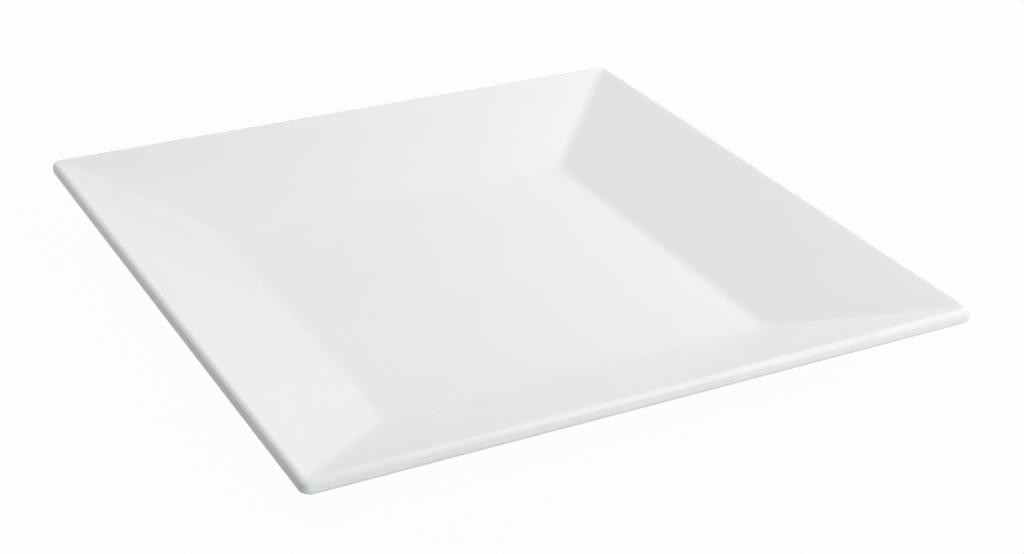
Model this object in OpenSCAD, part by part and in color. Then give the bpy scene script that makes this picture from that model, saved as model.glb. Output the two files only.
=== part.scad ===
// A square porcelain dinner plate: a flat well inside a wide sloping rim with mitred corners, a rounded lip,
// and a low square foot ring underneath. It is one fired body under a glaze that is melted on to it. The glaze
// covers everything but the band of the foot that stands on the table, so it lies on the body as two skins.
// Sizes are in millimetres and are those of the glazed plate. The origin is on the table under the middle of
// the well, and +Z points up.

/* [Plate] */
// Width of the plate across the lip, the same both ways
plate_w = 260; // [220:1:320]
// Radius of the plate's four corners, seen from above
plate_corner_r = 3.5; // [3:0.5:16]

/* [Well] */
// Width of the well between the creases where the rim starts to rise
well_w = 156; // [154:1:180]
// Depth of the well below the top of the lip
well_depth = 21.1; // [14:0.1:30]
// Thickness of the floor of the well
floor_t = 5.6; // [4:0.1:8]
// Radius that softens the crease between the floor and the rim
crease_r = 13; // [6:0.5:20]
// Corner radius of the well and of the mitres that run out from it, seen from above
mitre_r = 2.5; // [1.5:0.5:8]

/* [Lip] */
// Height of the lip's outer edge
lip_h = 5.7; // [4.6:0.1:9]
// Rounding along the top of the lip
lip_top_r = 1.8; // [1:0.1:2.6]
// Rounding along the bottom of the lip
lip_under_r = 2.2; // [1:0.1:2.6]

/* [Foot] */
// Width across the foot ring where it meets the table
foot_w = 154; // [130:1:156]
// Width of the foot's wall where it meets the table
foot_band = 5; // [4:0.5:8]
// Height of the foot ring, from the table to the underside of the floor
foot_h = 3.2; // [2.6:0.1:6]
// Radius of the foot ring's outer corners, seen from above
foot_corner_r = 12; // [10:0.5:24]
// Slope of the foot's two walls from the vertical, which lets the plate leave its mould
foot_draft = 12; // [6:1:20]
// Rounding along both edges of the band that stands on the table
foot_edge_r = 0.8; // [0.4:0.1:1.2]
// Fillet where the foot's outer wall runs into the underside of the rim
foot_fillet_r = 2.5; // [1:0.1:4]
// Fillet where the foot's inner wall runs into the underside of the floor
recess_fillet_r = 2; // [1:0.1:3]

/* [Glaze] */
// Thickness of the fired glaze
glaze_t = 0.35; // [0.2:0.05:0.6]
// Height of the stripe along the bottom of the foot that is wiped bare before firing
bare_h = 1.2; // [0.8:0.1:1.6]

/* [Hidden] */

// Colours
body_colour = [0.90, 0.89, 0.86];
glaze_colour = [0.92, 0.93, 0.92];
base_glaze_colour = [0.90, 0.91, 0.90];

// Number of steps round a quarter turn of a corner, and along each rounding or fillet of the section
corner_steps = 8;
crease_steps = 4;
lip_steps = 8;
under_steps = 5;
foot_steps = 4;
edge_steps = 3;

// The most of the straight face beside it that a rounding may take up
rounding_share = 0.95;

// Places in the section, as distances from the plate's middle and heights above the table
plate_half = plate_w / 2;
well_half = well_w / 2;
foot_half = foot_w / 2;
foot_root_half = foot_half + foot_h * tan(foot_draft);
foot_in_corner_r = foot_corner_r - foot_band;
floor_z = foot_h + floor_t;
plate_h = floor_z + well_depth;

// Roundings, kept within the faces that they soften
lip_room = lip_h * rounding_share / 2;
lip_top = min(lip_top_r, lip_room);
lip_under = min(lip_under_r, lip_room);
edge_room = bare_h * rounding_share / tan((90 - foot_draft) / 2);
foot_edge = min(foot_edge_r, edge_room);
fillet_room = (foot_h - bare_h) * rounding_share / tan((90 - foot_draft) / 2);
foot_fillet = min(foot_fillet_r, fillet_room);
recess_fillet = min(recess_fillet_r, fillet_room);

// The rim's upper and lower faces run from the well and the foot to where they touch the lip's two roundings
rim_rise = touch_slope([well_half, floor_z], [plate_half - lip_top, plate_h - lip_top], lip_top);
under_rise = touch_slope([foot_root_half, foot_h],
                         [plate_half - lip_under, plate_h - lip_h + lip_under], -lip_under);

// Slope of the line from point p that touches the circle of radius r round c, on its upper side, or its lower
// side where r is negative
function touch_slope(p, c, r) = atan2(c.y - p.y, c.x - p.x) + asin(r / norm(c - p));

// Unit vector in direction a
function aim(a) = [cos(a), sin(a)];

// The section's straight faces, in order from the floor of the well out over the rim, round the lip and back
// under the plate to the recess inside the foot. Each is a point on the face, the direction that it looks in,
// and how far it is moved that way. The band on the table is bare, so it never moves.
function faces(skin) = [
    [[0, floor_z], 90, skin],
    [[well_half, floor_z], 90 + rim_rise, skin],
    [[plate_half, plate_h], 0, skin],
    [[foot_root_half, foot_h], under_rise - 90, skin],
    [[foot_half, 0], -foot_draft, skin],
    [[0, 0], -90, 0],
    [[foot_half - foot_band, 0], foot_draft - 180, skin],
    [[0, foot_h], -90, skin]
];

// What joins each face to the next: a radius, negative where the section turns inwards, the number of steps,
// and the corner radius seen from above, which stays the same all along the join, as on a mitred moulding
function joins(skin) = [
    [skin - crease_r, crease_steps, mitre_r],
    [skin + lip_top, lip_steps, plate_corner_r],
    [skin + lip_under, under_steps, plate_corner_r],
    [skin - foot_fillet, foot_steps, foot_corner_r],
    [foot_edge, edge_steps, foot_corner_r],
    [foot_edge, edge_steps, foot_in_corner_r],
    [skin - recess_fillet, foot_steps, foot_in_corner_r]
];

// Where two faces meet when both are moved back by the same distance
function meeting(a, b, back) =
    let (
        m = aim(a[1]),
        n = aim(b[1]),
        d = m * a[0] + a[2] - back,
        e = n * b[0] + b[2] - back
    )
    [d * n.y - e * m.y, e * m.x - d * n.x] / cross(m, n);

// The rows that round off one join. Each row of the surface is half its width, its height and its corner radius.
function join_rows(number, skin) =
    let (
        a = faces(skin)[number],
        b = faces(skin)[number + 1],
        join = joins(skin)[number],
        centre = meeting(a, b, join[0])
    )
    [for (i = [0:join[1]])
        let (at = centre + join[0] * aim(a[1] + (b[1] - a[1]) * i / join[1]))
        [at.x, at.y, join[2]]];

// The row on a wall of the foot where the glaze ends
function glaze_edge_row(wall, skin, corner_r) =
    let (at = meeting(faces(skin)[wall], [[0, bare_h], 90, 0], 0))
    [at.x, at.y, corner_r];

// The glazed surface over the plate's face, rim and lip, and under them as far as the foot's outer wall
function outer_rows(skin) = [
    for (number = [0:3]) each join_rows(number, skin),
    glaze_edge_row(4, skin, foot_corner_r)
];

// The glazed surface inside the foot ring
function recess_rows(skin) = [
    glaze_edge_row(6, skin, foot_in_corner_r),
    each join_rows(6, skin)
];

// The same rows in the other order
function backwards(rows) = [for (i = [len(rows) - 1:-1:0]) rows[i]];

// The points of one row, round a square with rounded corners
function ring(row) = [
    for (corner = [0:3], i = [0:corner_steps])
        let (
            centre = (row[0] - row[2]) * sqrt(2) * aim(45 + 90 * corner),
            at = centre + row[2] * aim(90 * (corner + i / corner_steps))
        )
        [at.x, at.y, row[1]]
];

// A closed solid with its surface stretched over the rows, and flat where it starts and ends
module stretched(rows) {
    count = 4 * (corner_steps + 1);
    last = len(rows) - 1;
    polyhedron(
        points = [for (row = rows) each ring(row)],
        faces = [
            [for (i = [count - 1:-1:0]) i],
            for (j = [0:last - 1], i = [0:count - 1])
                let (k = (i + 1) % count)
                [j * count + i, j * count + k, (j + 1) * count + k, (j + 1) * count + i],
            [for (i = [0:count - 1]) last * count + i]
        ]
    );
}

// The fired body, with the foot ring that is pressed in one with it
module porcelain_body() {
    color(body_colour)
        stretched([
            each outer_rows(-glaze_t),
            each join_rows(4, -glaze_t),
            each join_rows(5, -glaze_t),
            each recess_rows(-glaze_t)
        ]);
}

// The glaze that shows: over the well, rim and lip, and under the rim down to the bare stripe of the foot
module glaze_coat() {
    color(glaze_colour)
        stretched([each outer_rows(0), each backwards(outer_rows(-glaze_t))]);
}

// The glaze inside the foot ring
module base_glaze() {
    color(base_glaze_colour)
        stretched([each backwards(recess_rows(-glaze_t)), each recess_rows(0)]);
}

porcelain_body();
glaze_coat();
base_glaze();
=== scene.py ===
import math

import bpy
from mathutils import Matrix, Vector


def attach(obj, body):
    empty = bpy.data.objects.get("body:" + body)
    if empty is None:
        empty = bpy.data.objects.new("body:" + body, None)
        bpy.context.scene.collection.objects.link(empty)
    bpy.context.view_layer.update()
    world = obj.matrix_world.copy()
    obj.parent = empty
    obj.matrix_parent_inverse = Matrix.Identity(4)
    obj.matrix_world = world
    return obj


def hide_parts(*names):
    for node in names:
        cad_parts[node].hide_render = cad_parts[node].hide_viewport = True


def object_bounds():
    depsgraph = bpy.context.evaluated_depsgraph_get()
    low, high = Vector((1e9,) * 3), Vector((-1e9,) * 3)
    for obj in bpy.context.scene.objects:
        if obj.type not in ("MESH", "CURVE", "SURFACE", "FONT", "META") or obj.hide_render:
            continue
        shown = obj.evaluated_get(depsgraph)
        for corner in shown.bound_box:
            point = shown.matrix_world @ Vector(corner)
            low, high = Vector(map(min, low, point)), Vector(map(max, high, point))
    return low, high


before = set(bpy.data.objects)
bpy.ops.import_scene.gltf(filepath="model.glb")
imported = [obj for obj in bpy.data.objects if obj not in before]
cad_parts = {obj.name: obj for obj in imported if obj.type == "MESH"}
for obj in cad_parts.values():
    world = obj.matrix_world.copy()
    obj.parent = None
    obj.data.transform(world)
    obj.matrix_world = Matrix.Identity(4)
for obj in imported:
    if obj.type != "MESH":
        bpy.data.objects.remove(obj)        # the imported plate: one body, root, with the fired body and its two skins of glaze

cadLow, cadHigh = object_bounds()        # the CAD model's box, before any piece is made
mm = 0.001                           # sizes are written in millimetres, and Blender works in metres


def addNode(tree, kind, inputs=None, **settings):
    # a socket among the inputs is linked, and anything else is set
    node = tree.nodes.new(kind)
    for name, value in settings.items():
        setattr(node, name, value)
    for name, value in (inputs or {}).items():
        if isinstance(value, bpy.types.NodeSocket):
            tree.links.new(value, node.inputs[name])
        else:
            node.inputs[name].default_value = value
    return node


def linearColour(hexCode):
    shares = [int(hexCode[i:i + 2], 16) / 255 for i in (1, 3, 5)]
    return [s / 12.92 if s <= 0.04045 else ((s + 0.055) / 1.055) ** 2.4 for s in shares] + [1.0]


# The camera stands where the photograph's did, over the plate's front left corner. Lengths are millimetres.
camera = {
    "azimuth": -29.298,          # degrees round the plate from its front
    "elevation": 27.533,         # degrees above the table
    "roll": 2.0645,              # degrees
    "distance": 738.52,          # from the middle of the plate, level with the top of its lip
    "slideRight": 10.24,         # the plate lies a little off the middle of the picture
    "slideUp": -17.86,
    "lens": 68.195,
    "filmWidth": 36.0,
    "nearest": 10.0,             # nothing closer to the camera than this is drawn
}


def placeCamera():
    a, e, r = (math.radians(camera[k]) for k in ("azimuth", "elevation", "roll"))
    back = Vector((math.sin(a) * math.cos(e), -math.cos(a) * math.cos(e), math.sin(e)))
    level = Vector((0, 0, 1)).cross(back).normalized()
    upright = back.cross(level)
    right = level * math.cos(r) + upright * math.sin(r)
    up = upright * math.cos(r) - level * math.sin(r)
    eye = bpy.data.objects.new("camera", bpy.data.cameras.new("camera"))
    eye.data.lens = camera["lens"]
    eye.data.sensor_width = camera["filmWidth"]
    eye.data.clip_start = camera["nearest"] * mm
    middle = Vector((0, 0, cadHigh.z))
    away = back * camera["distance"] + right * camera["slideRight"] + up * camera["slideUp"]
    place = middle + away * mm
    eye.matrix_world = Matrix.Translation(place) @ Matrix((right, up, back)).transposed().to_4x4()
    bpy.context.scene.collection.objects.link(eye)
    bpy.context.scene.camera = eye


placeCamera()
print("camera placed")


# The plate's section, the same as the CAD model's. Its straight faces run from the floor of the well out over
# the rim, round the lip and back under the plate to the recess inside the foot.
plate = {
    "half": cadHigh.x / mm,      # from the plate's middle to the outside of the lip
    "height": cadHigh.z / mm,
    "wellHalf": 78.0,            # from the plate's middle to the crease at the foot of the rim
    "wellDepth": 21.1,
    "floor": 5.6,                # thickness under the well
    "creaseRadius": 13.0,
    "mitreRadius": 2.5,          # the well's corners and the mitres between the rim's faces, seen from above
    "cornerRadius": 3.5,         # the plate's corners, seen from above
    "lip": 5.7,                  # height of the lip's edge
    "lipTopRadius": 1.8,
    "lipUnderRadius": 2.2,
    "footHalf": 77.0,            # from the plate's middle to the outside of the foot, on the table
    "footBand": 5.0,
    "footCornerRadius": 12.0,
    "footDraft": 12.0,           # degrees from the vertical
    "footEdgeRadius": 0.8,
    "footFillet": 2.35,
    "recessFillet": 2.0,
    "glaze": 0.35,               # thickness
    "bareStripe": 1.2,           # height of the foot's unglazed edge
    "glazeEdgeRadius": 0.14,     # the glaze draws itself round where it ends
}


def aim(degrees):
    return Vector((math.cos(math.radians(degrees)), math.sin(math.radians(degrees))))


def touchSlope(start, centre, radius):
    # slope of the line from start that just touches a circle, on its upper side,
    # or on its lower side where the radius is negative
    gap = Vector(centre) - Vector(start)
    return math.degrees(math.atan2(gap.y, gap.x) + math.asin(radius / gap.length))


def meeting(a, b):
    # where two faces meet, each a point on it, the direction that it looks in and how far it moves that way
    m, n = aim(a[1]), aim(b[1])
    d, e = m.dot(Vector(a[0])) + a[2], n.dot(Vector(b[0])) + b[2]
    across = m.x * n.y - m.y * n.x
    return (d * n.y - e * m.y) / across, (e * m.x - d * n.x) / across


floorHeight = plate["height"] - plate["wellDepth"]
footHeight = floorHeight - plate["floor"]
footRoot = plate["footHalf"] + footHeight * math.tan(math.radians(plate["footDraft"]))
lipTop, lipUnder = plate["lipTopRadius"], plate["lipUnderRadius"]
rimRise = touchSlope(
    (plate["wellHalf"], floorHeight), (plate["half"] - lipTop, plate["height"] - lipTop), lipTop)
underRise = touchSlope(
    (footRoot, footHeight), (plate["half"] - lipUnder, plate["height"] - plate["lip"] + lipUnder), -lipUnder)


def plateFaces(skin):
    # skin moves every glazed face outwards, and 0 is the glaze's own surface
    draft = plate["footDraft"]
    return [
        ((0, floorHeight), 90, skin),
        ((plate["wellHalf"], floorHeight), 90 + rimRise, skin),
        ((plate["half"], 0), 0, skin),
        ((footRoot, footHeight), underRise - 90, skin),
        ((plate["footHalf"], 0), -draft, skin),
        ((0, 0), -90, 0),
        ((plate["footHalf"] - plate["footBand"], 0), draft - 180, skin),
        ((0, footHeight), -90, skin),
    ]


def sectionCorners(skin):
    # each corner of the section is its place, its rounding, and its corner radius seen from above
    faces = plateFaces(skin)
    innerCorner = plate["footCornerRadius"] - plate["footBand"]
    finish = [
        (plate["creaseRadius"] - skin, plate["mitreRadius"]),
        (lipTop + skin, plate["cornerRadius"]),
        (lipUnder + skin, plate["cornerRadius"]),
        (plate["footFillet"] - skin, plate["footCornerRadius"]),
        (plate["footEdgeRadius"], plate["footCornerRadius"]),
        (plate["footEdgeRadius"], innerCorner),
        (plate["recessFillet"] - skin, innerCorner),
    ]
    return [(*meeting(faces[i], faces[i + 1]), *finish[i]) for i in range(len(finish))]


def middlePoint(height):
    return (0, height, 0, 0)


def glazeEnd(wall, cornerRadius, skin, rounding):
    # the edge of the glaze on one wall of the foot
    return (*meeting(plateFaces(skin)[wall], ((0, plate["bareStripe"]), 90, 0)), rounding, cornerRadius)


def sweepTree():
    # sweeps a section round a square with rounded corners; the section's points carry their rounding and the
    # corner radius that they have seen from above
    tree = bpy.data.node_groups.new("roundedSquareSweep", "GeometryNodeTree")
    sockets = {
        "Section": "Geometry", "Rounding Steps": "Int", "Corner Steps": "Int", "Side Steps": "Int",
        "Face Step": "Float", "Warp Height": "Float", "Warp Size": "Float", "Warp Seed": "Float",
        "Warp From": "Float", "Full Turn": "Float", "Pooling And Shade Spread": "Int", "Corner Pooling And Shade": "Float",
        "Weld Gap": "Float", "Surface": "Material",
    }
    for name, kind in sockets.items():
        tree.interface.new_socket(name=name, in_out="INPUT", socket_type="NodeSocket" + kind)
    tree.interface.new_socket(name="Plate", in_out="OUTPUT", socket_type="NodeSocketGeometry")
    given = addNode(tree, "NodeGroupInput").outputs
    place = addNode(tree, "GeometryNodeInputPosition").outputs[0]
    index = addNode(tree, "GeometryNodeInputIndex").outputs[0]

    # the section: sharp corners, then rounded ones, then more points along the straight faces
    rounding, cornerRadius = (addNode(tree, "GeometryNodeInputNamedAttribute", {"Name": name}).outputs[0]
                              for name in ("rounding", "cornerRadius"))
    line = addNode(tree, "GeometryNodeMeshToCurve", {"Mesh": given["Section"]}).outputs[0]
    line = addNode(tree, "GeometryNodeFilletCurve", {
        "Curve": line, "Count": given["Rounding Steps"], "Radius": rounding, "Limit Radius": True,
    }, mode="POLY").outputs[0]
    following = addNode(tree, "ShaderNodeMath", {0: index, 1: 1.0}).outputs[0]
    nextPlace = addNode(tree, "GeometryNodeFieldAtIndex", {"Index": following, "Value": place},
                        data_type="FLOAT_VECTOR").outputs[0]
    length = addNode(tree, "ShaderNodeVectorMath", {0: place, 1: nextPlace},
                     operation="DISTANCE").outputs["Value"]
    cuts = addNode(tree, "ShaderNodeMath", {0: length, 1: given["Face Step"]}, operation="DIVIDE").outputs[0]
    line = addNode(tree, "GeometryNodeSubdivideCurve", {"Curve": line, "Cuts": cuts}).outputs[0]

    # fired glaze runs together where the section turns inwards, which counts up to 1,
    # and draws thin where the section turns outwards, which counts down to -1; both marks also carry
    # painted shade: darker colour in the creases, and on the lip's lit crest
    previous = addNode(tree, "ShaderNodeMath", {0: index, 1: 1.0}, operation="SUBTRACT").outputs[0]
    lastPlace = addNode(tree, "GeometryNodeFieldAtIndex", {"Index": previous, "Value": place},
                        data_type="FLOAT_VECTOR").outputs[0]
    into, onwards = (addNode(tree, "ShaderNodeVectorMath", {0: b, 1: a}, operation="SUBTRACT").outputs[0]
                     for a, b in ((lastPlace, place), (place, nextPlace)))
    into, onwards = (addNode(tree, "ShaderNodeVectorMath", {0: way}, operation="NORMALIZE").outputs[0]
                     for way in (into, onwards))
    turn = addNode(tree, "ShaderNodeVectorMath", {0: onwards, 1: into}, operation="CROSS_PRODUCT").outputs[0]
    turn = addNode(tree, "ShaderNodeSeparateXYZ", {0: turn}).outputs[1]
    turn = addNode(tree, "ShaderNodeMath", {0: turn, 1: given["Rounding Steps"]},
                   operation="MULTIPLY").outputs[0]
    outTurn = addNode(tree, "ShaderNodeMath", {0: given["Full Turn"], 1: -1.0},
                      operation="MULTIPLY").outputs[0]
    poolingAndShade = addNode(tree, "ShaderNodeMapRange", {
        0: turn, 1: outTurn, 2: given["Full Turn"], 3: -1.0}).outputs[0]
    poolingAndShade = addNode(tree, "GeometryNodeBlurAttribute", {
        "Value": poolingAndShade, "Iterations": given["Pooling And Shade Spread"]}).outputs[0]
    rise = addNode(tree, "ShaderNodeSeparateXYZ", {0: onwards}).outputs[2]

    # the grid: one row for each point of the section, one column for each step round the square
    rows = addNode(tree, "GeometryNodeAttributeDomainSize", {"Geometry": line}, component="CURVE")
    perCorner = addNode(tree, "ShaderNodeMath", {0: given["Corner Steps"], 1: given["Side Steps"]}).outputs[0]
    around = addNode(tree, "ShaderNodeMath", {0: perCorner, 1: 4.0, 2: 1.0},
                     operation="MULTIPLY_ADD").outputs[0]
    grid = addNode(tree, "GeometryNodeMeshGrid",
                   {"Vertices X": rows.outputs["Point Count"], "Vertices Y": around}).outputs[0]
    rowShare = addNode(tree, "ShaderNodeMath", {0: index, 1: around}, operation="DIVIDE").outputs[0]
    row = addNode(tree, "ShaderNodeMath", {0: rowShare}, operation="FLOOR").outputs[0]
    column = addNode(tree, "ShaderNodeMath", {0: index, 1: around}, operation="MODULO").outputs[0]
    cornerShare = addNode(tree, "ShaderNodeMath", {0: column, 1: perCorner}, operation="DIVIDE").outputs[0]
    corner = addNode(tree, "ShaderNodeMath", {0: cornerShare}, operation="FLOOR").outputs[0]
    step = addNode(tree, "ShaderNodeMath", {0: column, 1: perCorner}, operation="MODULO").outputs[0]

    # each corner is turned through a right angle first, and then its side is walked to the next corner
    turned = addNode(tree, "ShaderNodeMapRange", {0: step, 2: given["Corner Steps"]}).outputs[0]
    walked = addNode(tree, "ShaderNodeMapRange", {0: step, 1: given["Corner Steps"], 2: perCorner}).outputs[0]
    looking = addNode(tree, "ShaderNodeMath", {0: corner, 1: turned}).outputs[0]
    rightAngle = math.pi / 2
    lookAngle = addNode(tree, "ShaderNodeMath", {0: looking, 1: rightAngle}, operation="MULTIPLY").outputs[0]
    cornerAngle = addNode(tree, "ShaderNodeMath", {0: corner, 1: rightAngle}, operation="MULTIPLY").outputs[0]
    along = addNode(tree, "ShaderNodeMix", {"Factor": walked, 4: (1, 1, 0), 5: (-1, 1, 0)},
                    data_type="VECTOR").outputs[1]
    centre = addNode(tree, "ShaderNodeVectorRotate", {"Vector": along, "Angle": cornerAngle},
                     rotation_type="Z_AXIS").outputs[0]
    outwards = addNode(tree, "ShaderNodeVectorRotate", {"Vector": (1, 0, 0), "Angle": lookAngle},
                       rotation_type="Z_AXIS").outputs[0]
    point = addNode(tree, "GeometryNodeSampleIndex", {"Geometry": line, "Value": place, "Index": row},
                    data_type="FLOAT_VECTOR").outputs[0]
    radius = addNode(tree, "GeometryNodeSampleIndex",
                     {"Geometry": line, "Value": cornerRadius, "Index": row}).outputs[0]

    # the corners pool and thin the glaze too: they turn inwards where the face rises outwards,
    # as the rim's mitres do, and outwards everywhere else; the pooling along the mitres is partly real
    # pooling and partly painted shade, which dims the light that falls along them
    rowPoolingAndShade, rowRise = (addNode(tree, "GeometryNodeSampleIndex",
                                   {"Geometry": line, "Value": value, "Index": row}).outputs[0]
                           for value in (poolingAndShade, rise))
    bulge = addNode(tree, "ShaderNodeMath", {0: 1.0, 1: turned}, operation="SUBTRACT").outputs[0]
    for factor in (turned, rowRise, given["Corner Pooling And Shade"]):
        bulge = addNode(tree, "ShaderNodeMath", {0: bulge, 1: factor}, operation="MULTIPLY").outputs[0]
    rowPoolingAndShade = addNode(tree, "ShaderNodeMath", {0: rowPoolingAndShade, 1: bulge}).outputs[0]
    grid = addNode(tree, "GeometryNodeStoreNamedAttribute",
                   {"Geometry": grid, "Name": "poolingAndShade", "Value": rowPoolingAndShade}).outputs[0]
    pointParts = addNode(tree, "ShaderNodeSeparateXYZ", {0: point}).outputs
    straight = addNode(tree, "ShaderNodeMath", {0: pointParts[0], 1: radius}, operation="SUBTRACT").outputs[0]
    centre = addNode(tree, "ShaderNodeVectorMath", {0: centre, "Scale": straight},
                     operation="SCALE").outputs[0]
    raised = addNode(tree, "ShaderNodeCombineXYZ", {2: pointParts[2]}).outputs[0]
    spot = addNode(tree, "ShaderNodeVectorMath", {0: outwards, "Scale": radius}, operation="SCALE").outputs[0]
    spot = addNode(tree, "ShaderNodeVectorMath", {0: spot, 1: centre}).outputs[0]
    spot = addNode(tree, "ShaderNodeVectorMath", {0: spot, 1: raised}).outputs[0]
    shape = addNode(tree, "GeometryNodeSetPosition", {"Geometry": grid, "Position": spot}).outputs[0]
    shape = addNode(tree, "GeometryNodeMergeByDistance", {
        "Geometry": shape, "Distance": given["Weld Gap"]}).outputs[0]

    # firing warps the plate by a hair, more the higher above its foot, and never past the size it was made to
    noise = addNode(tree, "ShaderNodeTexNoise", {
        "Vector": place, "W": given["Warp Seed"], "Scale": given["Warp Size"], "Detail": 0.0,
    }, noise_dimensions="4D").outputs[0]
    height = addNode(tree, "ShaderNodeSeparateXYZ", {0: place}).outputs[2]
    free = addNode(tree, "ShaderNodeMapRange", {0: height, 1: given["Warp From"], 2: cadHigh.z},
                   interpolation_type="SMOOTHSTEP").outputs[0]
    sink = addNode(tree, "ShaderNodeMath", {0: noise, 1: given["Warp Height"]},
                   operation="MULTIPLY").outputs[0]
    sink = addNode(tree, "ShaderNodeMath", {0: sink, 1: free}, operation="MULTIPLY").outputs[0]
    sink = addNode(tree, "ShaderNodeMath", {0: sink, 1: -1.0}, operation="MULTIPLY").outputs[0]
    sink = addNode(tree, "ShaderNodeCombineXYZ", {2: sink}).outputs[0]
    shape = addNode(tree, "GeometryNodeSetPosition", {"Geometry": shape, "Offset": sink}).outputs[0]

    shape = addNode(tree, "GeometryNodeSetShadeSmooth", {"Geometry": shape}).outputs[0]
    shape = addNode(tree, "GeometryNodeRealizeInstances", {"Geometry": shape}).outputs[0]
    shape = addNode(tree, "GeometryNodeSetMaterial",
                    {"Geometry": shape, "Material": given["Surface"]}).outputs[0]
    addNode(tree, "NodeGroupOutput", {0: shape})
    return tree


def sweepSection(name, corners, sizes, surface):
    mesh = bpy.data.meshes.new(name + "Section")
    mesh.from_pydata([(c[0] * mm, 0, c[1] * mm) for c in corners],
                     [(i, i + 1) for i in range(len(corners) - 1)], [])
    columns = {"rounding": 2, "cornerRadius": 3}
    for column, place in columns.items():
        values = mesh.attributes.new(column, "FLOAT", "POINT").data
        for value, c in zip(values, corners):
            value.value = c[place] * mm
    maker = bpy.data.objects.new(name + "Maker", mesh)
    bpy.context.scene.collection.objects.link(maker)
    modifier = maker.modifiers.new("sweep", "NODES")
    modifier.node_group = plateTree
    for item in plateTree.interface.items_tree:
        if item.in_out == "INPUT" and item.name in sizes:
            modifier[item.identifier] = sizes[item.name]
        if item.in_out == "INPUT" and item.name == "Surface":
            modifier[item.identifier] = surface
    made = maker.evaluated_get(bpy.context.evaluated_depsgraph_get())
    piece = bpy.data.objects.new(name, bpy.data.meshes.new_from_object(made))
    maker.modifiers.remove(modifier)
    bpy.data.objects.remove(maker)
    for attribute in [a.name for a in piece.data.attributes if a.name in columns]:
        piece.data.attributes.remove(piece.data.attributes[attribute])
    bpy.context.scene.collection.objects.link(piece)
    return piece


# Hard porcelain's clear feldspar glaze, melted on to a white body. The eye sees an even, faintly cool white
# with soft reflections that waver a little. It is cooler and darker where the glaze ran together in a crease
# or a mitre, partly real pooling and partly painted shade that dims the light along the mitres. Where it drew
# thin over an edge the white body shows through, and the colour there is a hair darker, which is painted
# shade on the lip's lit crest. Lengths are in millimetres.
faceGlaze = {
    "colour": "#F1F3F2",
    "cloudColour": "#EEF1F0",      # slow, faint clouding
    "cloudSize": 45.0,
    # darker where the glaze pooled in creases and mitres: partly real pooling, partly painted shade
    "pooledAndShadedColour": "#ECEFEE",
    # glaze drawn thin over edges, a hair darker than the rest as painted shade on the lip's lit crest
    "thinAndShadedColour": "#F0F3F2",
    "roughness": (0.13, 0.19),     # where the glaze melted smoothest, and where least
    "ior": 1.5,
    "peelSize": 2.6,               # the faint orange peel of a melted surface
    "peelHeight": 0.004,
    "speckGap": 16.0,              # specks of iron in the clay, which show faintly through the glaze
    "speckSize": 0.22,
    "speckColour": "#D9D5CC",
    "holeGap": 14.0,               # pinholes, where a bubble broke as the glaze set
    "holeSize": 0.25,
    "holeDepth": 0.02,
}
# Inside the foot nobody looks, so that glaze is sprayed thinner and sorted less strictly.
baseFinish = {
    **faceGlaze,
    "colour": "#EFF0EE",
    "cloudColour": "#E9EBE9",
    "cloudSize": 24.0,
    "roughness": (0.18, 0.3),
    "peelHeight": 0.012,
    "speckGap": 7.0,
    "speckSize": 0.45,
    "speckColour": "#B9B2A4",
    "holeGap": 6.0,
    "holeSize": 0.5,
    "holeDepth": 0.08,
}


def emptyMaterial(name):
    material = bpy.data.materials.new(name)
    material.use_nodes = True
    material.node_tree.nodes.clear()
    return material, material.node_tree


def placeInMm(tree):
    place = addNode(tree, "ShaderNodeTexCoord").outputs["Object"]
    return addNode(tree, "ShaderNodeVectorMath", {0: place, "Scale": 1 / mm}, operation="SCALE").outputs[0]


def spots(tree, inMm, gap, size):
    # 1 at the middle of a scattered round spot, and 0 from its edge outwards
    near = addNode(tree, "ShaderNodeTexVoronoi", {"Vector": inMm, "Scale": 1 / gap}).outputs["Distance"]
    return addNode(tree, "ShaderNodeMapRange", {0: near, 1: size / 2 / gap, 2: 0.0}).outputs[0]


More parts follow.
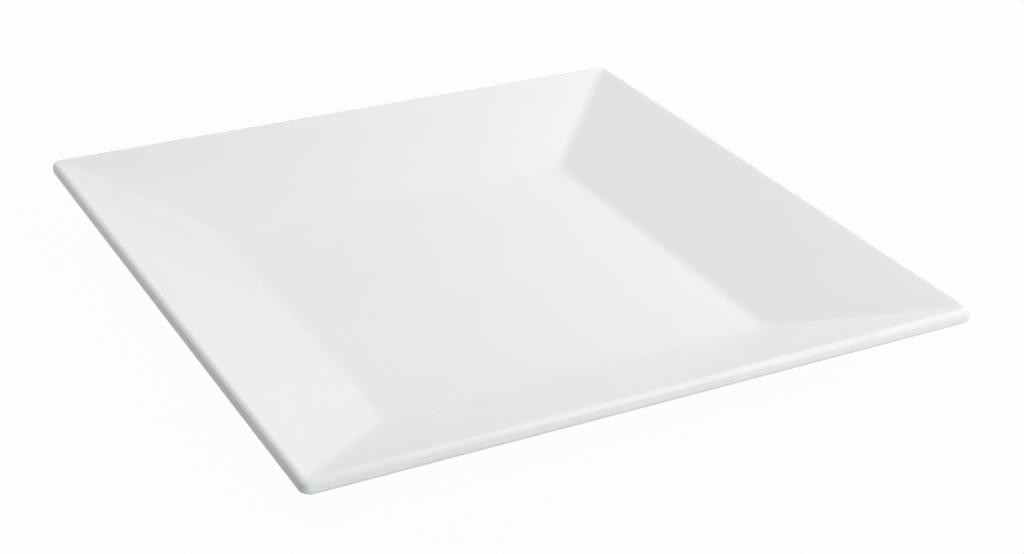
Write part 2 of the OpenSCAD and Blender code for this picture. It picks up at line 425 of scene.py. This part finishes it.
def glazeMaterial(name, finish):
    material, tree = emptyMaterial(name)
    inMm = placeInMm(tree)
    clouds = addNode(tree, "ShaderNodeTexNoise", {
        "Vector": inMm, "Scale": 1 / finish["cloudSize"], "Detail": 2.0}).outputs[0]
    pooledAndShaded = addNode(tree, "ShaderNodeAttribute", attribute_name="poolingAndShade").outputs["Fac"]
    thinnedAndShaded = addNode(tree, "ShaderNodeMath", {0: pooledAndShaded, 1: -1.0}, operation="MULTIPLY").outputs[0]
    colour = linearColour(finish["colour"])
    specks = spots(tree, inMm, finish["speckGap"], finish["speckSize"])
    # the pooled and thinned colours carry painted shade in the creases and mitres and on the lip's crest
    for share, tone in ((clouds, "cloudColour"), (pooledAndShaded, "pooledAndShadedColour"), (thinnedAndShaded, "thinAndShadedColour"),
                        (specks, "speckColour")):
        colour = addNode(tree, "ShaderNodeMix", {"Factor": share, 6: colour, 7: linearColour(finish[tone])},
                         data_type="RGBA").outputs[2]
    peel = addNode(tree, "ShaderNodeTexNoise", {
        "Vector": inMm, "Scale": 1 / finish["peelSize"], "Detail": 1.0}).outputs[0]
    peel = addNode(tree, "ShaderNodeMath", {0: peel, 1: finish["peelHeight"]},
                   operation="MULTIPLY").outputs[0]
    holes = spots(tree, inMm, finish["holeGap"], finish["holeSize"])
    height = addNode(tree, "ShaderNodeMath", {0: holes, 1: -finish["holeDepth"], 2: peel},
                     operation="MULTIPLY_ADD").outputs[0]
    bump = addNode(tree, "ShaderNodeBump", {"Height": height, "Distance": mm, "Strength": 1.0}).outputs[0]
    smooth, rough = finish["roughness"]
    roughness = addNode(tree, "ShaderNodeMapRange", {0: clouds, 3: smooth, 4: rough}).outputs[0]
    shader = addNode(tree, "ShaderNodeBsdfPrincipled", {
        "Base Color": colour, "Roughness": roughness, "IOR": finish["ior"], "Normal": bump}).outputs[0]
    addNode(tree, "ShaderNodeOutputMaterial", {"Surface": shader})
    return material


# Bare porcelain, fired without glaze and rubbed smooth so that it won't scratch a table. The eye sees a matt,
# finely grained band that is a little warmer than the glaze and greyed where it has stood and slid.
bareBody = {
    "colour": "#ECEAE5",
    "grainColour": "#E1DDD6",
    "grainSize": 0.5,              # the real grain is finer, and wouldn't show
    "grainHeight": 0.01,
    "greyedColour": "#CDCBC7",
    "greyedHeight": 0.25,          # how far above the table the greying reaches
    "scuffSize": 1.4,
    "scuffed": (0.42, 0.75),       # the noise below this is clean, and above it wholly scuffed
    "roughness": 0.55,
    "ior": 1.5,
}


def bareMaterial():
    material, tree = emptyMaterial("bare porcelain")
    inMm = placeInMm(tree)
    grain = addNode(tree, "ShaderNodeTexNoise", {
        "Vector": inMm, "Scale": 1 / bareBody["grainSize"], "Detail": 3.0}).outputs[0]
    scuffs = addNode(tree, "ShaderNodeTexNoise", {
        "Vector": inMm, "Scale": 1 / bareBody["scuffSize"], "Detail": 4.0}).outputs[0]
    clean, wholly = bareBody["scuffed"]
    scuffs = addNode(tree, "ShaderNodeMapRange", {0: scuffs, 1: clean, 2: wholly}).outputs[0]
    above = addNode(tree, "ShaderNodeSeparateXYZ", {0: inMm}).outputs[2]
    low = addNode(tree, "ShaderNodeMapRange", {0: above, 1: bareBody["greyedHeight"], 2: 0.0}).outputs[0]
    greyed = addNode(tree, "ShaderNodeMath", {0: scuffs, 1: low}, operation="MULTIPLY").outputs[0]
    colour = linearColour(bareBody["colour"])
    for share, tone in ((grain, "grainColour"), (greyed, "greyedColour")):
        colour = addNode(tree, "ShaderNodeMix", {"Factor": share, 6: colour, 7: linearColour(bareBody[tone])},
                         data_type="RGBA").outputs[2]
    bump = addNode(tree, "ShaderNodeBump", {
        "Height": grain, "Distance": bareBody["grainHeight"] * mm, "Strength": 1.0}).outputs[0]
    shader = addNode(tree, "ShaderNodeBsdfPrincipled", {
        "Base Color": colour, "Roughness": bareBody["roughness"], "IOR": bareBody["ior"],
        "Normal": bump}).outputs[0]
    addNode(tree, "ShaderNodeOutputMaterial", {"Surface": shader})
    return material


# The pieces. Each is a closed solid swept from its own part of the section.
plateTree = sweepTree()
sweep = {
    "Rounding Steps": 10,
    "Corner Steps": 16,
    "Side Steps": 44,
    "Face Step": 3.0 * mm,
    "Warp Height": 0.25 * mm,
    "Warp Size": 11.0,           # bends in a metre
    "Warp Seed": 4.0,
    "Warp From": 4.0 * mm,
    "Full Turn": 1.6,            # radians that a join turns before its glaze is wholly pooled, with its painted shade, or wholly thinned
    "Corner Pooling And Shade": 3.0,       # at about 10 the middle of a mitre is wholly pooled, with its painted shade
    "Pooling And Shade Spread": 2,         # points of the section on each side
    "Weld Gap": 0.001 * mm,      # closes the middle and the seam
}

surface, inside = sectionCorners(0), sectionCorners(-plate["glaze"])
edgeRound, footCorner = plate["glazeEdgeRadius"], plate["footCornerRadius"]
recessCorner = footCorner - plate["footBand"]

coatCorners = [
    middlePoint(floorHeight), *surface[:4],
    glazeEnd(4, footCorner, 0, edgeRound), glazeEnd(4, footCorner, -plate["glaze"], 0),
    *inside[3::-1], middlePoint(floorHeight - plate["glaze"]),
]
coat = sweepSection("glazeCoat", coatCorners, sweep, glazeMaterial("white gloss glaze", faceGlaze))
print("glaze coat swept")

bodyCorners = [
    middlePoint(floorHeight - plate["glaze"]), *inside, middlePoint(footHeight + plate["glaze"]),
]
body = sweepSection("firedBody", bodyCorners, sweep, bareMaterial())
print("fired body swept")

baseCorners = [
    middlePoint(footHeight + plate["glaze"]), inside[6],
    glazeEnd(6, recessCorner, -plate["glaze"], 0), glazeEnd(6, recessCorner, 0, edgeRound),
    surface[6], middlePoint(footHeight),
]
baseGlaze = glazeMaterial("white gloss glaze underneath", baseFinish)
base = sweepSection("baseGlaze", baseCorners, sweep, baseGlaze)
print("base glaze swept")

for piece, node in ((coat, "glaze_coat"), (body, "porcelain_body"), (base, "base_glaze")):
    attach(piece, "root")
    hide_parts(node)


# The studio: a plain white table, wide soft lamps and even light from all round.
studio = {
    "whiteColour": "#FDFFFF",    # what the camera sees behind the plate
    "tableColour": "#C8CACB",
    "tableSize": 8000.0,
    "tableGap": 0.02,            # keeps the table's face clear of the foot's
    "tableShow": 0.98,           # how much of the table is plain white to the camera, and the rest is lit
    "tableGloss": 0.6,           # the same in the glaze's reflections, which keep more of the table's shadow
    "roomLevel": 0.062,
    "roomColour": "#FFFFFF",
    "lampInGlaze": "strip",      # the only one that the glaze mirrors, as the light line along the front lip
}
# Azimuth and elevation are degrees, as the camera's are, lengths are millimetres, and power is watts.
lamps = {
    "strip": {"azimuth": 30, "elevation": 30, "distance": 1000, "size": (300, 800), "power": 1.52},
    "front": {"azimuth": 36, "elevation": 42, "distance": 1000, "size": (300, 300), "power": 1.33},
    "lowFront": {"azimuth": 0, "elevation": 15, "distance": 1000, "size": (600, 400), "power": 1.87},
    "nearRight": {"azimuth": 90, "elevation": 28, "distance": 500, "size": (300, 200), "power": 0.61},
    "farFront": {"azimuth": 25, "elevation": 47, "distance": 3000, "size": (1500, 1500), "power": 22.21},
    "farBack": {"azimuth": -160, "elevation": 50, "distance": 3000, "size": (1500, 1500), "power": 46.27},
}


def makeTable():
    mesh = bpy.data.meshes.new("table")
    reach = studio["tableSize"] / 2 * mm
    drop = -studio["tableGap"] * mm
    mesh.from_pydata([(x * reach, y * reach, drop) for x, y in ((-1, -1), (1, -1), (1, 1), (-1, 1))], [],
                     [(0, 1, 2, 3)])
    table = bpy.data.objects.new("table", mesh)
    bpy.context.scene.collection.objects.link(table)
    material, tree = emptyMaterial("white table")
    lit = addNode(tree, "ShaderNodeBsdfDiffuse", {"Color": linearColour(studio["tableColour"])}).outputs[0]
    white = addNode(tree, "ShaderNodeEmission", {
        "Color": linearColour(studio["whiteColour"]), "Strength": 1.0}).outputs[0]
    ray = addNode(tree, "ShaderNodeLightPath").outputs
    seen = addNode(tree, "ShaderNodeMath", {0: ray["Is Camera Ray"], 1: studio["tableShow"]},
                   operation="MULTIPLY").outputs[0]
    mirrored = addNode(tree, "ShaderNodeMath", {0: ray["Is Glossy Ray"], 1: ray["Is Transmission Ray"]},
                       operation="MAXIMUM").outputs[0]
    share = addNode(tree, "ShaderNodeMath", {0: mirrored, 1: studio["tableGloss"], 2: seen},
                    operation="MULTIPLY_ADD").outputs[0]
    mixed = addNode(tree, "ShaderNodeMixShader", {0: share, 1: lit, 2: white}).outputs[0]
    addNode(tree, "ShaderNodeOutputMaterial", {"Surface": mixed})
    mesh.materials.append(material)


def makeRoom():
    world = bpy.data.worlds.new("room")
    world.use_nodes = True
    tree = world.node_tree
    tree.nodes.clear()
    room = addNode(tree, "ShaderNodeBackground",
                   {"Color": linearColour(studio["roomColour"]), "Strength": studio["roomLevel"]}).outputs[0]
    white = addNode(tree, "ShaderNodeBackground", {
        "Color": linearColour(studio["whiteColour"]), "Strength": 1.0}).outputs[0]
    ray = addNode(tree, "ShaderNodeLightPath").outputs
    seen = addNode(tree, "ShaderNodeMath", {0: ray["Is Camera Ray"], 1: ray["Is Glossy Ray"]},
                   operation="MAXIMUM").outputs[0]
    seen = addNode(tree, "ShaderNodeMath", {0: seen, 1: ray["Is Transmission Ray"]},
                   operation="MAXIMUM").outputs[0]
    mixed = addNode(tree, "ShaderNodeMixShader", {0: seen, 1: room, 2: white}).outputs[0]
    addNode(tree, "ShaderNodeOutputWorld", {"Surface": mixed})
    bpy.context.scene.world = world


def hangLamp(name, lamp):
    a, e = math.radians(lamp["azimuth"]), math.radians(lamp["elevation"])
    towards = Vector((math.sin(a) * math.cos(e), -math.cos(a) * math.cos(e), math.sin(e)))
    light = bpy.data.lights.new(name, "AREA")
    light.shape = "RECTANGLE"
    width, height = lamp["size"]
    light.size = width * mm
    light.size_y = height * mm
    light.energy = lamp["power"]
    hung = bpy.data.objects.new(name, light)
    turned = towards.to_track_quat("Z", "Y").to_matrix().to_4x4()
    hung.matrix_world = Matrix.Translation(towards * lamp["distance"] * mm) @ turned
    hung.visible_camera = False
    hung.visible_glossy = name == studio["lampInGlaze"]
    bpy.context.scene.collection.objects.link(hung)


makeTable()
makeRoom()
for name, lamp in lamps.items():
    hangLamp(name, lamp)
bpy.context.scene.view_settings.view_transform = "Standard"
print("studio lit")
